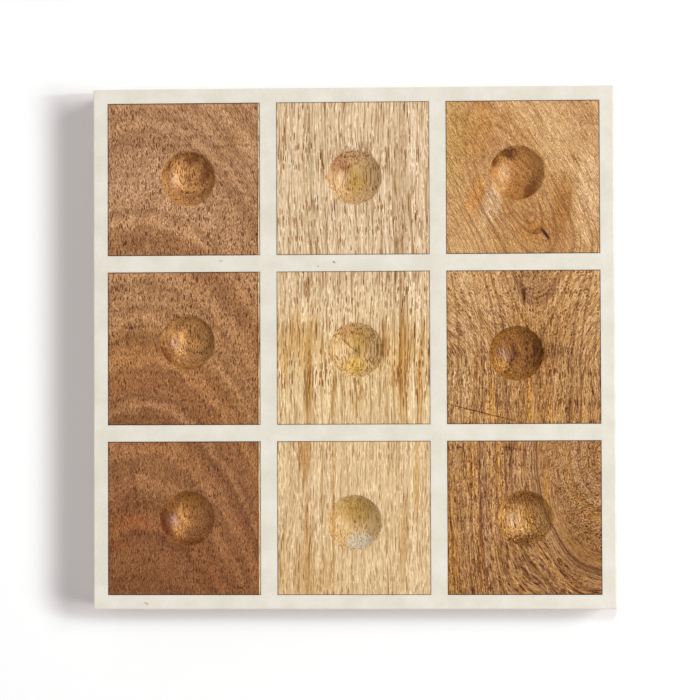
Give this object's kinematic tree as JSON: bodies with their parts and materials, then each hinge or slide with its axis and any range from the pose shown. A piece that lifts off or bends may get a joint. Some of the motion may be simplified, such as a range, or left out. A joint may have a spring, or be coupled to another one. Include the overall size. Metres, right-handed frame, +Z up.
{
  "type": "tic-tac-toe board",
  "caption": "Square game board of glued planks with a flush pale resin rim and grid, a round dish in each square for a playing ball, and rubber feet.",
  "frame": {"origin": "on the table, under the middle of the board", "axes": "+Z up out of the playing face, +Y towards the back edge (the top of the picture), +X to the right"},
  "size_m": [0.254, 0.254, 0.028],
  "materials": {
    "wood_brown": "satin lacquer",
    "wood_pale": "satin lacquer",
    "wood_golden": "satin lacquer",
    "resin": "sanded and polished",
    "rubber": "matte"
  },
  "bodies": {
    "root": {"plank_left": "wood_brown", "plank_middle": "wood_pale", "plank_right": "wood_golden", "resin_grid": "resin", "foot_front_left": "rubber", "foot_front_right": "rubber", "foot_back_left": "rubber", "foot_back_right": "rubber"}
  },
  "joints": []
}
